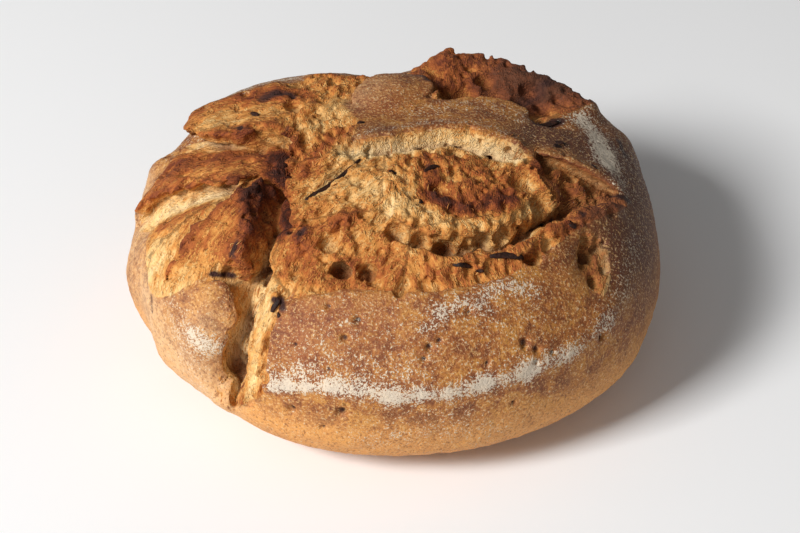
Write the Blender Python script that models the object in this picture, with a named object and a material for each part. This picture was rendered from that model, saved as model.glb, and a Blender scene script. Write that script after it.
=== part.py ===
"""Round country loaf, baked seam side up so that its top burst open into folds, an ear and deep tears.

The loaf is one solid. A smooth dome is described by a few sizes, and every fold, lip, ridge and
hollow is a stroke laid on its skin. Skin coordinates (u, v) are distances in millimetres from the
crown, measured down along the smooth dome: u to the right and v to the back.
"""

import math
from collections import namedtuple

import bmesh
import bpy
import numpy as np
from mathutils import Vector, noise

MM = 0.001

# Driving dimensions, in millimetres
HALF_WIDTH = 118.0
HALF_DEPTH = 116.0
BELLY_HEIGHT = 38.0
CROWN_RISE = 60.0
UNDERSIDE_DEPTH = 42.0
CROWN_FULLNESS = 2.7
UNDERSIDE_FULLNESS = 3.0

# Mesh density
SPHERE_SUBDIVISIONS = 7
TRIANGLE_TARGET = 11000

# Relief, in millimetres: height, then the width of one bump
CRUMB_CRAG = (1.5, 9.0)
CRUST_WAVE = (1.1, 34.0)
STEP_WIDTH = 1.6
END_FADE = 0.16
MASK_WIDTH = 2.5

CRUST_COLOUR = (0.46, 0.22, 0.085, 1.0)
CRUMB_COLOUR = (0.66, 0.40, 0.16, 1.0)

Lip = namedtuple("Lip", "path rise rise_reach drop drop_reach")
Ridge = namedtuple("Ridge", "path height width")
Hill = namedtuple("Hill", "centre radii height")

# A lip is a broken edge of the skin: its left side, seen along the path, stands up by rise and its
# right side drops away by drop. Both fade with distance from the edge over their reach.
LIPS = {
    "crown_ear": Lip(
        [(-22, -9), (-10, -7), (3, -3), (15, 1), (27, 2), (38, -1), (49, -6), (60, -9)],
        3.5, 12, 10, 8),
    "right_ear": Lip([(58, -4), (68, -5), (80, -8), (92, -11), (102, -16)], 2.5, 10, 7, 8),
    "rim": Lip(
        [(104, -21), (92, -30), (82, -37), (74, -43), (67, -49), (59, -57), (50, -66),
         (38, -71), (24, -75), (12, -75), (2, -69), (-5, -61)],
        4.5, 8, 14, 7),
    "front_edge": Lip(
        [(-52, -98), (-45, -92), (-30, -90), (-10, -90), (10, -91), (22, -89), (34, -85),
         (46, -80), (57, -72)][::-1],
        1.2, 14, 1.5, 5),
    "mound_side": Lip(
        [(-34, 26), (-39, 10), (-44, -8), (-46, -25), (-45, -42), (-41, -60)], 3, 14, 17, 8),
    "tongue_side": Lip(
        [(-77, -77), (-68, -71), (-62, -61), (-61, -49), (-61, -38), (-60, -28), (-60, -17)],
        4.5, 13, 17, 8),
    "cheek_edge": Lip(
        [(-94, -134), (-98, -124), (-101, -115), (-97, -107), (-89, -101), (-81, -93),
         (-78, -85), (-78, -77), (-86, -71)],
        3, 14, 12, 7),
    "front_corner": Lip([(-47, -90), (-52, -100), (-57, -110), (-64, -121), (-70, -131)],
                        1.5, 12, 4, 10),
    "tongue_top": Lip([(-60, -20), (-66, -31), (-77, -39), (-88, -50), (-99, -62), (-110, -76)],
                      3, 12, 4, 8),
    "middle_fold": Lip(
        [(-134, -9), (-124, -9), (-114, -10), (-104, -13), (-94, -15), (-82, -17), (-70, -20),
         (-57, -19)],
        4, 14, 5, 8),
    "upper_fold": Lip(
        [(-112, 56), (-103, 47), (-96, 37), (-90, 27), (-85, 17), (-76, 11), (-67, 8), (-58, 11),
         (-49, 13), (-41, 11), (-36, 7)],
        6, 18, 8, 10),
    "knob_left": Lip([(11, 64), (2, 60), (-6, 54), (-13, 46), (-18, 36), (-20, 26)], 1, 10, 6, 8),
    "knob_right": Lip([(13, 33), (16, 42), (15, 52), (12, 61)], 1, 8, 7, 6),
    "crown_back": Lip([(62, 24), (56, 32), (48, 35), (38, 37), (25, 35), (14, 37)],
                      1, 8, 15, 13),
}

RIDGES = {
    "left_tear": Ridge([(-62, -66), (-69, -82), (-74, -92), (-84, -106), (-92, -116), (-94, -128)],
                       -13, 10),
    "stripe": Ridge([(-126, -17), (-111, -22), (-96, -23), (-83, -23), (-70, -24)], -5, 7),
    "upper_crest": Ridge([(-96, 36), (-80, 38), (-66, 43), (-55, 47), (-45, 48)], 4.5, 9),
    "back_crest": Ridge([(10, 70), (20, 74), (36, 75), (51, 68), (67, 58), (82, 47), (95, 37)],
                        9.5, 10),
    "back_lumps": Ridge([(-44, 58), (-34, 62), (-20, 61), (-8, 60)], 2, 8),
    "mound_brow": Ridge([(-8, -52), (8, -57), (25, -58), (42, -54), (58, -42)], 4, 9),
    "flour_shelf": Ridge([(-66, -124), (-40, -127), (-10, -134), (10, -131), (30, -128),
                          (60, -115), (82, -100), (97, -78), (108, -50)], 1.5, 7),
}

HILLS = {
    "mound": Hill((18, -30), (46, 36), 7),
    "mound_dent": Hill((30, -26), (22, 20), -4),
    "knob": Hill((-4, 41), (19, 17), 4),
    "back_peak": Hill((17, 75), (13, 8), 3),
    "seam_lump": Hill((-22, -56), (9, 8), 5),
    "seam_peak": Hill((-38, -61), (6, 7), 6),
    "band_hole_left": Hill((-23, -82), (4.5, 4), -5),
    "band_hole_right": Hill((-12, -81), (4, 4), -4),
    "side_burst": Hill((83, -62), (7, 9), -5),
    "ear_slit": Hill((69, 24), (7, 3.5), -5),
    "left_belly": Hill((-118, -70), (34, 40), 1.5),
    "left_foot": Hill((-118, -122), (40, 36), -2.5),
    "right_belly": Hill((116, -90), (40, 40), 2),
    "right_flat": Hill((130, -10), (24, 24), -2),
    "right_shoulder": Hill((108, 44), (16, 16), 4),
    "right_dip": Hill((136, 22), (20, 20), -1),
    "back_dip": Hill((-8, 92), (40, 27), -9),
    "back_gap": Hill((-9, 106), (15, 22), -6),
    "back_left_dip": Hill((-58, 92), (20, 18), -3),
    "left_cheek": Hill((-140, -32), (14, 12), 3),
    "left_waist": Hill((-150, -60), (16, 14), -3),
    "left_side": Hill((-128, 4), (14, 16), -2.5),
    "fold_tip": Hill((-110, 15), (8, 7), 3),
    "fold_notch": Hill((-102, 46), (10, 12), -16),
}

# The outline, in skin coordinates, inside which the skin has burst and bare crumb shows.
BURST_OUTLINE = [
    (-95, -131), (-68, -129), (-60, -115), (-53, -103), (-46, -92), (-18, -89), (10, -91),
    (32, -85), (52, -75), (62, -64), (76, -48), (97, -28), (102, -18), (80, -7), (62, 1),
    (60, 14), (64, 22), (78, 36), (92, 62), (70, 84), (40, 92), (10, 86), (-20, 76),
    (-44, 60), (-56, 50), (-82, 46), (-98, 30), (-100, 14), (-112, -2), (-128, -14),
    (-116, -30), (-117, -60), (-100, -71), (-80, -71), (-77, -84), (-92, -104), (-104, -120),
]
# The cap of skin that is left on the crown, between the ear and the tear at the back.
CROWN_SKIN = [
    (-20, -8), (-8, -6), (5, -2), (16, 2), (28, 3), (40, -1), (50, -6), (62, -8), (66, 12),
    (62, 30), (50, 36), (30, 35), (16, 31), (8, 24), (-4, 17), (-14, 8),
]
# The smooth knob of skin behind it.
KNOB_SKIN = [
    (-22, 14), (-28, 24), (-27, 35), (-18, 47), (-6, 56), (4, 60), (12, 61), (16, 50), (17, 36),
    (8, 27), (-4, 16), (-14, 8),
]


def smoothstep(x):
    """0 below 0, 1 above 1, and an even slope between."""
    x = np.clip(x, 0.0, 1.0)
    return x * x * (3.0 - 2.0 * x)


def dome_radius(zenith, azimuth):
    """Distance from the loaf's middle, at belly height, to the smooth dome in that direction."""
    side = 1.0 / np.hypot(np.cos(azimuth) / HALF_WIDTH, np.sin(azimuth) / HALF_DEPTH)
    across = np.sin(zenith) / side
    up = np.cos(zenith)
    crown = (across**CROWN_FULLNESS + np.abs(up / CROWN_RISE) ** CROWN_FULLNESS)
    base = (across**UNDERSIDE_FULLNESS + np.abs(up / UNDERSIDE_DEPTH) ** UNDERSIDE_FULLNESS)
    return np.where(up >= 0, crown ** (-1 / CROWN_FULLNESS), base ** (-1 / UNDERSIDE_FULLNESS))


def skin_length_table():
    """Zenith angles, and the length of skin from the crown down to each."""
    zenith = np.linspace(0.0, math.pi, 721)
    radius = dome_radius(zenith, np.zeros_like(zenith))
    steps = np.hypot(np.diff(radius * np.sin(zenith)), np.diff(radius * np.cos(zenith)))
    return zenith, np.concatenate([[0.0], np.cumsum(steps)])


def skin_coordinates(direction):
    """(u, v) of unit directions from the loaf's middle."""
    zenith_table, length_table = skin_length_table()
    zenith = np.arctan2(np.hypot(direction[:, 0], direction[:, 1]), direction[:, 2])
    azimuth = np.arctan2(direction[:, 1], direction[:, 0])
    length = np.interp(zenith, zenith_table, length_table)
    return length * np.cos(azimuth), length * np.sin(azimuth)


def smooth_path(points, steps=4):
    """A Catmull-Rom curve through the points."""
    p = np.array([points[0], *points, points[-1]], float)
    t = np.linspace(0.0, 1.0, steps, endpoint=False)[:, None]
    spans = [
        0.5 * (2 * b + (c - a) * t + (2 * a - 5 * b + 4 * c - d) * t**2
               + (3 * b - a - 3 * c + d) * t**3)
        for a, b, c, d in zip(p, p[1:], p[2:], p[3:])
    ]
    return np.vstack([*spans, p[-1:]])


def measure_from(path, u, v):
    """Signed distance from a path, positive on its left, and how far along it, from 0 to 1."""
    nearest = np.full(u.shape, np.inf)
    side = np.zeros(u.shape)
    along = np.zeros(u.shape)
    lengths = np.hypot(*np.diff(path, axis=0).T)
    start = np.concatenate([[0.0], np.cumsum(lengths)])
    for (au, av), (bu, bv), length, before in zip(path, path[1:], lengths, start):
        du, dv = (bu - au) / length, (bv - av) / length
        run = np.clip((u - au) * du + (v - av) * dv, 0.0, length)
        gap_u, gap_v = u - au - run * du, v - av - run * dv
        gap = np.hypot(gap_u, gap_v)
        closer = gap < nearest
        nearest = np.where(closer, gap, nearest)
        side = np.where(closer, du * gap_v - dv * gap_u, side)
        along = np.where(closer, (before + run) / start[-1], along)
    return np.copysign(nearest, side), along


def end_fade(along):
    """1 along a path, falling to 0 at its ends."""
    return smoothstep(along / END_FADE) * smoothstep((1.0 - along) / END_FADE)


def lip_lift(lip, u, v):
    distance, along = measure_from(smooth_path(lip.path), u, v)
    raised = lip.rise * np.exp(-np.abs(distance) / lip.rise_reach)
    dropped = -lip.drop * np.exp(-np.abs(distance) / lip.drop_reach)
    share = smoothstep(0.5 + distance / STEP_WIDTH)
    return end_fade(along) * (share * raised + (1.0 - share) * dropped)


def ridge_lift(ridge, u, v):
    distance, along = measure_from(smooth_path(ridge.path), u, v)
    return end_fade(along) * ridge.height * np.exp(-((distance / ridge.width) ** 2))


def hill_lift(hill, u, v):
    across = (u - hill.centre[0]) / hill.radii[0]
    back = (v - hill.centre[1]) / hill.radii[1]
    return hill.height * np.exp(-(across**2 + back**2))


def inside(outline, u, v):
    """1 inside a closed outline and 0 outside, with a soft edge."""
    ring = smooth_path([*outline, outline[0]])
    distance, _ = measure_from(ring, u, v)
    odd = np.zeros(u.shape, bool)
    for (au, av), (bu, bv) in zip(ring, ring[1:]):
        crosses = (av > v) != (bv > v)
        reach = au + (v - av) * (bu - au) / (bv - av if bv != av else 1.0)
        odd ^= crosses & (u < reach)
    return smoothstep(0.5 + np.where(odd, 1.0, -1.0) * np.abs(distance) / MASK_WIDTH)


def crumb_share(u, v):
    """1 where bare crumb shows and 0 where the skin is whole."""
    skin = np.maximum(inside(CROWN_SKIN, u, v), inside(KNOB_SKIN, u, v))
    return inside(BURST_OUTLINE, u, v) * (1.0 - skin)


def bumps(points, height, width):
    """Even, smooth noise of that height, with bumps of that width."""
    return height * np.array([noise.noise(Vector(p) / width) for p in points])


def lift(points, u, v):
    """How far the loaf's surface stands above the smooth dome."""
    crumb = crumb_share(u, v)
    total = bumps(points, *CRUST_WAVE) + crumb * bumps(points, *CRUMB_CRAG)
    for lip in LIPS.values():
        total += lip_lift(lip, u, v)
    for ridge in RIDGES.values():
        total += ridge_lift(ridge, u, v)
    for hill in HILLS.values():
        total += hill_lift(hill, u, v)
    return total


def plain_material(name, colour, roughness):
    material = bpy.data.materials.new(name)
    material.use_nodes = True
    shader = material.node_tree.nodes["Principled BSDF"]
    shader.inputs["Base Color"].default_value = colour
    shader.inputs["Roughness"].default_value = roughness
    return material


def fine_loaf():
    """The loaf as a finely divided sphere whose points are moved out to the baked surface."""
    shape = bmesh.new()
    bmesh.ops.create_icosphere(shape, subdivisions=SPHERE_SUBDIVISIONS, radius=1.0)
    direction = np.array([vertex.co for vertex in shape.verts])
    direction /= np.linalg.norm(direction, axis=1)[:, None]
    u, v = skin_coordinates(direction)
    zenith = np.arctan2(np.hypot(direction[:, 0], direction[:, 1]), direction[:, 2])
    azimuth = np.arctan2(direction[:, 1], direction[:, 0])
    smooth = direction * dome_radius(zenith, azimuth)[:, None]
    baked = smooth + direction * lift(smooth, u, v)[:, None]
    baked[:, 2] = np.maximum(baked[:, 2] + BELLY_HEIGHT, 0.0)
    for vertex, place in zip(shape.verts, baked):
        vertex.co = place * MM
    crumb = crumb_share(u, v)
    for face in shape.faces:
        face.material_index = int(np.mean([crumb[vertex.index] for vertex in face.verts]) > 0.5)
        face.smooth = True
    mesh = bpy.data.meshes.new("loaf")
    shape.to_mesh(mesh)
    shape.free()
    return mesh


def thinned(mesh, triangles):
    """The mesh with about that many triangles, most of them kept where it bends."""
    carrier = bpy.data.objects.new("thinning", mesh)
    bpy.context.scene.collection.objects.link(carrier)
    thin = carrier.modifiers.new("thin", "DECIMATE")
    thin.ratio = triangles / len(mesh.polygons)
    graph = bpy.context.evaluated_depsgraph_get()
    result = bpy.data.meshes.new_from_object(carrier.evaluated_get(graph))
    bpy.data.objects.remove(carrier)
    return result


def centred(mesh):
    """Moves the mesh so that the middle of its box is over the origin and it rests on z = 0."""
    places = np.array([vertex.co for vertex in mesh.vertices])
    low, high = places.min(axis=0), places.max(axis=0)
    shift = Vector((-(low[0] + high[0]) / 2, -(low[1] + high[1]) / 2, -low[2]))
    for vertex in mesh.vertices:
        vertex.co += shift


def main():
    for leftover in list(bpy.data.objects):
        bpy.data.objects.remove(leftover)
    mesh = thinned(fine_loaf(), TRIANGLE_TARGET)
    centred(mesh)
    mesh.materials.clear()
    mesh.materials.append(plain_material("crust", CRUST_COLOUR, 0.8))
    mesh.materials.append(plain_material("crumb", CRUMB_COLOUR, 0.9))
    loaf = bpy.data.objects.new("loaf", mesh)
    bread = bpy.data.collections.new("country_loaf")
    bpy.context.scene.collection.children.link(bread)
    bread.objects.link(loaf)


main()
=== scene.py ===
"""Looks of the country loaf: its baked crust, flour, torn crumb and toasted edges.

The loaf's surface is worked out again from the same strokes as the solid, in a fine volume, so that
lips overhang and crumb pores are real hollows. Skin coordinates (u, v) are millimetres of skin from
the crown: u to the right and v to the back. Points are in millimetres from the loaf's middle at
belly height until the mesh is made.
"""

import math
import random
from collections import namedtuple

import bpy
import numpy as np
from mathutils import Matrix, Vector, noise
from mathutils.bvhtree import BVHTree


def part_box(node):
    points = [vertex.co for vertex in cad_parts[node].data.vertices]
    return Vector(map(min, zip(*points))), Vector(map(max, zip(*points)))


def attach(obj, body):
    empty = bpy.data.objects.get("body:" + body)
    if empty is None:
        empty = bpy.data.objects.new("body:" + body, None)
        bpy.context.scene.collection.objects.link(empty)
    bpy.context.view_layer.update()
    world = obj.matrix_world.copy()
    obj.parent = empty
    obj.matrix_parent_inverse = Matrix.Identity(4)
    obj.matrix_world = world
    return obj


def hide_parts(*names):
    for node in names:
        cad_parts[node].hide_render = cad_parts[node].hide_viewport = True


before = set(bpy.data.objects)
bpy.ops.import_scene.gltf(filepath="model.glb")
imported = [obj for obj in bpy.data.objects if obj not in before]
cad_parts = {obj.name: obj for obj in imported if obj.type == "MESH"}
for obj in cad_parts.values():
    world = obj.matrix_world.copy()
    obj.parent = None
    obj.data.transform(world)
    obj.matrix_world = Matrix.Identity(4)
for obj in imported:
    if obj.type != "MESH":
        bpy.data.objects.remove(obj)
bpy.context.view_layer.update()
MM = 0.001
SEED = 7

# The loaf's driving dimensions, as its solid has them
HALF_WIDTH = 118.0
HALF_DEPTH = 116.0
BELLY_HEIGHT = 38.0
CROWN_RISE = 60.0
UNDERSIDE_DEPTH = 42.0
CROWN_FULLNESS = 2.7
UNDERSIDE_FULLNESS = 3.0

# The volume that the surface is drawn from; all is worked out this near the smooth dome
VOXEL = 0.85
VOLUME_REACH = (124.0, 122.0)
VOLUME_TOP = 118.0
SKIN_BAND = 34.0
TRIANGLE_LIMIT = 195000

# Maps over the skin
MAP_REACH = 240.0
MAP_STEP = 0.8
SKIN_END = 215.0
MASK_WIDTH = 2.5
KNOB_MASK_WIDTH = 12.0

# Heights and widths of bumps: in the crumb, in the crust, and along a ragged lip
CRUMB_CRAG = (1.5, 9.0)
CRUST_WAVE = (1.1, 34.0)
LIP_RAGS = ((2.4, 7.0), (1.2, 3.0))
STEP_WIDTH = 1.6
# The share of a path over which it fades at each end
END_FADE = 0.16
LIP_EDGE_REACH = 11.0

# Sets one grain's pattern apart from the next one's
GRAIN_SHIFT = 37.0
PORES = 1500
PORE_LIMIT = 3.0
LARGE_BUBBLE = 4.6
# Air is measured over these half widths, for what stands out and for what lies deep
NEAR_AIR = 2.4
WIDE_AIR = 7.0
# Rays that look for the surface run between these heights over the smooth dome
RAY_HEIGHTS = (25.0, -30.0)

# A lip is high on its path's left and dropped on its right; its edge leans out by lean, and burn is
# how much darker that edge was baked
Lip = namedtuple("Lip", "path rise rise_reach drop drop_reach lean ragged burn")
Ridge = namedtuple("Ridge", "path height width")
Hill = namedtuple("Hill", "centre radii height")
# A hollow is an ellipsoid: its middle on the skin, radii along the grain, across it and inwards
Hollow = namedtuple("Hollow", "centre radii sink")
# A tint is laid on along a path, or round one point, and fades over its width
Tint = namedtuple("Tint", "path width amount")
# A bit of onion lies on the skin between two places
Bit = namedtuple("Bit", "start end width bow lift")


def many(kind, rows):
    """One of that kind from each row of its values."""
    return [kind(*row) for row in rows]


LIPS = {
    "crown_ear": Lip(
        [(-22, -9), (-10, -7), (3, -3), (15, 1), (27, 2), (38, -1), (49, -6), (60, -9)],
        3.5, 12, 10, 8, -2.2, 0.5, 0.08),
    "right_ear": Lip([(58, -4), (68, -5), (80, -8), (92, -11), (102, -16)],
                     2.5, 10, 7, 8, 3, 0.6, 0.1),
    "rim": Lip(
        [(104, -21), (92, -30), (82, -37), (74, -43), (67, -49), (59, -57), (50, -66),
         (38, -71), (24, -75), (12, -75), (2, -69), (-5, -61)],
        4.5, 8, 14, 7, 3, 1.3, 0.0),
    "front_edge": Lip(
        [(-52, -98), (-45, -92), (-30, -90), (-10, -90), (10, -91), (22, -89), (34, -85),
         (46, -80), (57, -72)][::-1],
        1.2, 14, 1.5, 5, 0.6, 0.5, 0.0),
    "mound_side": Lip(
        [(-34, 26), (-39, 10), (-44, -8), (-46, -25), (-45, -42), (-41, -60)],
        3, 14, 17, 8, 1.0, 1.2, 0.0),
    "tongue_side": Lip(
        [(-77, -77), (-68, -71), (-62, -61), (-61, -49), (-61, -38), (-60, -28), (-60, -17)],
        4.5, 13, 17, 8, 1.2, 1.0, 0.05),
    "cheek_edge": Lip(
        [(-94, -134), (-98, -124), (-101, -115), (-97, -107), (-89, -101), (-81, -93),
         (-78, -85), (-78, -77), (-86, -71)],
        3, 14, 12, 7, 2.5, 0.7, 0.1),
    "front_corner": Lip([(-47, -90), (-52, -100), (-57, -110), (-64, -121), (-70, -131)],
                        1.5, 12, 4, 10, 1, 0.7, 0.0),
    "tongue_top": Lip([(-60, -20), (-66, -31), (-77, -39), (-88, -50), (-99, -62), (-110, -76)],
                      3, 12, 4, 8, 1.5, 1.2, 0.12),
    "middle_fold": Lip(
        [(-134, -9), (-124, -9), (-114, -10), (-104, -13), (-94, -15), (-82, -17), (-70, -20),
         (-57, -19)],
        4, 14, 5, 8, 2.5, 1.4, 0.16),
    "upper_fold": Lip(
        [(-112, 56), (-103, 47), (-96, 37), (-90, 27), (-85, 17), (-76, 11), (-67, 8), (-58, 11),
         (-49, 13), (-41, 11), (-36, 7)],
        6, 18, 8, 10, 1.5, 1.0, 0.0),
    "knob_left": Lip([(11, 64), (2, 60), (-6, 54), (-13, 46), (-18, 36), (-20, 26)],
                     1, 10, 6, 8, 0.6, 0.6, 0.0),
    "knob_right": Lip([(13, 33), (16, 42), (15, 52), (12, 61)], 1, 8, 7, 6, 0.6, 0.6, 0.1),
    "crown_back": Lip([(62, 24), (56, 32), (48, 35), (38, 37), (25, 35), (14, 37)],
                      1, 8, 15, 13, 1.2, 0.8, 0.0),
}

RIDGES = {
    "left_tear": Ridge([(-62, -66), (-69, -82), (-74, -92), (-84, -106), (-92, -116), (-94, -128)],
                       -13, 10),
    "stripe": Ridge([(-126, -17), (-111, -22), (-96, -23), (-83, -23), (-70, -24)], -5, 7),
    "upper_crest": Ridge([(-96, 36), (-80, 38), (-66, 43), (-55, 47), (-45, 48)], 4.5, 9),
    "back_crest": Ridge([(10, 70), (20, 74), (36, 75), (51, 68), (67, 58), (82, 47), (95, 37)],
                        9.5, 10),
    "back_lumps": Ridge([(-44, 58), (-34, 62), (-20, 61), (-8, 60)], 2, 8),
    "mound_brow": Ridge([(-8, -52), (8, -57), (25, -58), (42, -54), (58, -42)], 4, 9),
    "flour_shelf": Ridge([(-66, -124), (-40, -127), (-10, -134), (10, -131), (30, -128),
                          (60, -115), (82, -100), (97, -78), (108, -50)], 1.5, 7),
}

HILLS = {
    "mound": Hill((18, -30), (46, 36), 7),
    "mound_dent": Hill((30, -26), (22, 20), -4),
    "knob": Hill((-4, 41), (19, 17), 4),
    "back_peak": Hill((17, 75), (13, 8), 3),
    "seam_lump": Hill((-22, -56), (9, 8), 5),
    "seam_peak": Hill((-38, -61), (6, 7), 6),
    "band_hole_left": Hill((-23, -82), (4.5, 4), -5),
    "band_hole_right": Hill((-12, -81), (4, 4), -4),
    "side_burst": Hill((83, -62), (7, 9), -5),
    "ear_slit": Hill((69, 24), (7, 3.5), -5),
    "left_belly": Hill((-118, -70), (34, 40), 1.5),
    "left_foot": Hill((-118, -122), (40, 36), -2.5),
    "right_belly": Hill((116, -90), (40, 40), 2),
    "right_flat": Hill((130, -10), (24, 24), -2),
    "right_shoulder": Hill((108, 44), (16, 16), 4),
    "right_dip": Hill((136, 22), (20, 20), -1),
    "back_dip": Hill((-8, 92), (40, 27), -9),
    "back_gap": Hill((-9, 106), (15, 22), -6),
    "back_left_dip": Hill((-58, 92), (20, 18), -3),
    "left_cheek": Hill((-140, -32), (14, 12), 3),
    "left_waist": Hill((-150, -60), (16, 14), -3),
    "left_side": Hill((-128, 4), (14, 16), -2.5),
    "fold_tip": Hill((-110, 15), (8, 7), 3),
    "fold_notch": Hill((-102, 46), (10, 12), -16),
}

# Thin walls and furrows of crumb, too fine for the solid
FINE_RIDGES = many(Ridge, [
    ([(42, 0), (51, -7), (55, -17), (60, -26), (66, -35), (75, -41)], 2.4, 1.8),
    ([(62, -12), (70, -20), (78, -29), (84, -36)], -2.5, 5),
    ([(-40, -28), (-30, -18), (-16, -10), (-4, -8)], 1.6, 2.2),
    ([(16, -12), (20, -22), (22, -34)], 1.4, 1.6),
    ([(-10, -52), (-4, -42), (-2, -32)], 2.0, 2.2),
    ([(-36, -66), (-24, -74), (-17, -80), (-14, -88)], 1.6, 1.8),
])

# Lips whose tops kept their crust
CRUST_LIPS = [LIPS[name] for name in ("crown_ear", "right_ear", "cheek_edge", "front_corner",
                                      "front_edge")]

# Where the loaf burst open
BURST_OUTLINE = [
    (-95, -131), (-68, -129), (-60, -115), (-53, -103), (-46, -92), (-18, -89), (10, -91),
    (32, -85), (52, -75), (62, -64), (76, -48), (97, -28), (102, -18), (80, -7), (62, 1),
    (60, 14), (64, 22), (78, 36), (92, 62), (70, 84), (40, 92), (10, 86), (-20, 76),
    (-44, 56), (-56, 45), (-80, 40), (-98, 28), (-100, 14), (-112, -2), (-128, -14),
    (-116, -30), (-117, -60), (-100, -71), (-80, -71), (-77, -84), (-92, -104), (-104, -120),
]
# The skin left on the crown
CROWN_SKIN = [
    (-20, -8), (-8, -6), (5, -2), (16, 2), (28, 3), (40, -1), (50, -6), (62, -8), (66, 12),
    (62, 30), (50, 36), (30, 35), (16, 31), (8, 24), (-4, 17), (-14, 8),
]
# The smooth knob of skin behind it
KNOB_SKIN = [
    (-16, 15), (-22, 25), (-23, 36), (-17, 47), (-6, 56), (4, 60), (12, 61), (16, 50), (17, 36),
    (8, 27), (-4, 16), (-14, 8),
]
# Crumb with wide open bubbles; elsewhere it is fine and close
OPEN_CRUMB = [
    (-36, -6), (-18, -4), (2, 3), (22, 8), (45, 4), (60, -4), (80, -12), (98, -20), (84, -36),
    (68, -52), (54, -72), (30, -86), (0, -90), (-30, -88), (-44, -72), (-40, -50), (-38, -25),
]
# The small burst low in the right side
BURST_IN_SIDE = [(77, -50), (87, -50), (93, -62), (90, -76), (80, -70), (76, -58)]

# The crumb was torn along these directions: a middle, and degrees from u
GRAINS = [
    ((15, -30), 92), ((-22, -75), 60), ((30, -80), 110), ((-85, -55), 48), ((-100, -20), 22),
    ((-85, 2), 14), ((-75, 32), 12), ((-30, 0), 80), ((-10, 45), 70), ((40, 62), 95),
    ((80, -20), 60), ((-75, -100), 52), ((80, 45), 40), ((-26, -28), 48), ((60, -36), 75),
]
GRAIN_MIDDLES = np.array([middle for middle, _ in GRAINS], float)
GRAIN_ANGLES = np.radians([angle for _, angle in GRAINS])

# Dark caves under the mound, in the groove behind the rim
CAVES = many(Hollow, [
    ((0, -62), (4.6, 5.2, 6), 1.5), ((10, -66), (3.2, 3.8, 5), 1.2),
    ((21, -71), (4.2, 5.2, 6), 1.8), ((30, -69), (2.4, 2.6, 4), 0.8),
    ((37, -64), (3.6, 4.4, 5), 1.5), ((45, -60), (3.8, 4.0, 5), 1.5),
    ((55, -55), (3.6, 4.0, 5), 1.2), ((56, -70), (3.4, 4.8, 5), 2.2),
    ((71, -46), (3.8, 3.0, 5), 1.0),
])
HOLLOWS = CAVES + many(Hollow, [
    # the mound's large smooth bubbles, and its smaller holes
    ((51, -25), (8.5, 8, 6), -1.6), ((61, -39), (7.4, 6, 6), -1.4),
    ((17, -36), (3.4, 4.4, 4.5), 0.7), ((34, -28), (2.6, 2.6, 4), 0.6),
    ((26, -8), (3, 4.4, 4.5), 0.9), ((40, -16), (4, 4.4, 4), -0.4),
    ((-6, -20), (5, 4.6, 4), -0.8), ((-16, -5), (2.4, 3, 3.5), 0.4),
    ((-2, -32), (1, 1.4, 2), 0.1), ((9, -47), (1.8, 1.4, 2), 0.2),
    ((-26, -28), (14, 2.8, 4), 0.2), ((-22, 4), (3.6, 2.4, 3.5), 0.3),
    ((-36, -52), (2.6, 2.3, 3.5), 0.2), ((-29, -53), (2.6, 2.3, 3.5), 0.2),
    ((-14, -47), (2.6, 2.3, 3.5), 0.2), ((-13, -52), (2.4, 2.2, 3.5), 0.2),
    # holes in the band in front of the rim
    ((-27, -66), (5, 5, 4.5), -0.8), ((-30, -74), (2, 3.6, 3), 0.3),
    ((-24, -82), (4.8, 5.6, 6), 1.5), ((-13, -83), (4, 4.4, 5.5), 1.3),
    ((37, -78), (3.4, 1.6, 2.5), 0.2), ((46, -77), (2.8, 1.4, 2.5), 0.2),
    # the left tear, the right wall and the burst in the side
    ((-66, -80), (5, 3, 5), 1.5), ((-70, -90), (4, 3, 5), 1.2),
    ((-77, -99), (4, 2.6, 5), 1.2), ((-85, -108), (3.6, 2.4, 5), 1.2),
    ((-92, -119), (3.6, 2.4, 5), 1.2), ((-64, -88), (3, 2, 4), 0.6),
    ((88, -20), (3, 4, 4), 0.0), ((76, -24), (3.4, 5, 4), 0.0),
    ((80, -54), (3, 3, 4), 1.2), ((87, -55), (2.6, 2.6, 4), 1.2),
    ((85, -61), (3, 2.4, 5), 1.6), ((86, -72), (3.4, 2.4, 5), 1.6),
    ((91, -64), (2, 2, 3), 0.8), ((81, -65), (2.6, 2, 4), 1.0),
    ((75, -42), (3, 3, 5), 1.2), ((68, -9), (3, 4, 4), 0.8),
    ((79, -13), (3, 4, 4), 0.8), ((89, -16), (3, 3.4, 4), 0.8),
    # the trough behind the crown, and the crest's face
    ((22, 50), (5, 8, 5), 0.0), ((33, 53), (6, 7, 6), 0.0),
    ((46, 52), (6, 8, 6), 0.0), ((58, 49), (6, 6, 5), 0.0),
    ((68, 44), (4, 5, 5), 0.0), ((20, 63), (2.6, 3.4, 4), 0.5),
    ((34, 67), (2.6, 3.4, 4), 0.5), ((42, 61), (5, 5, 5), 1.2),
    ((62, 52), (6, 7, 6), 1.2), ((73, 46), (2.6, 3, 4), 0.5),
    # the folds on the left
    ((-44, 30), (5, 5, 5), 0.0), ((-47, 8), (6, 4, 5), 0.0),
    ((-49, -12), (5, 4, 5), 0.0), ((-97, 20), (11, 3.4, 8), -0.5),
    ((-66, 4), (5, 2.4, 3), 0.0), ((-58, 12), (4, 2.4, 3), 0.0),
])

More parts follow.
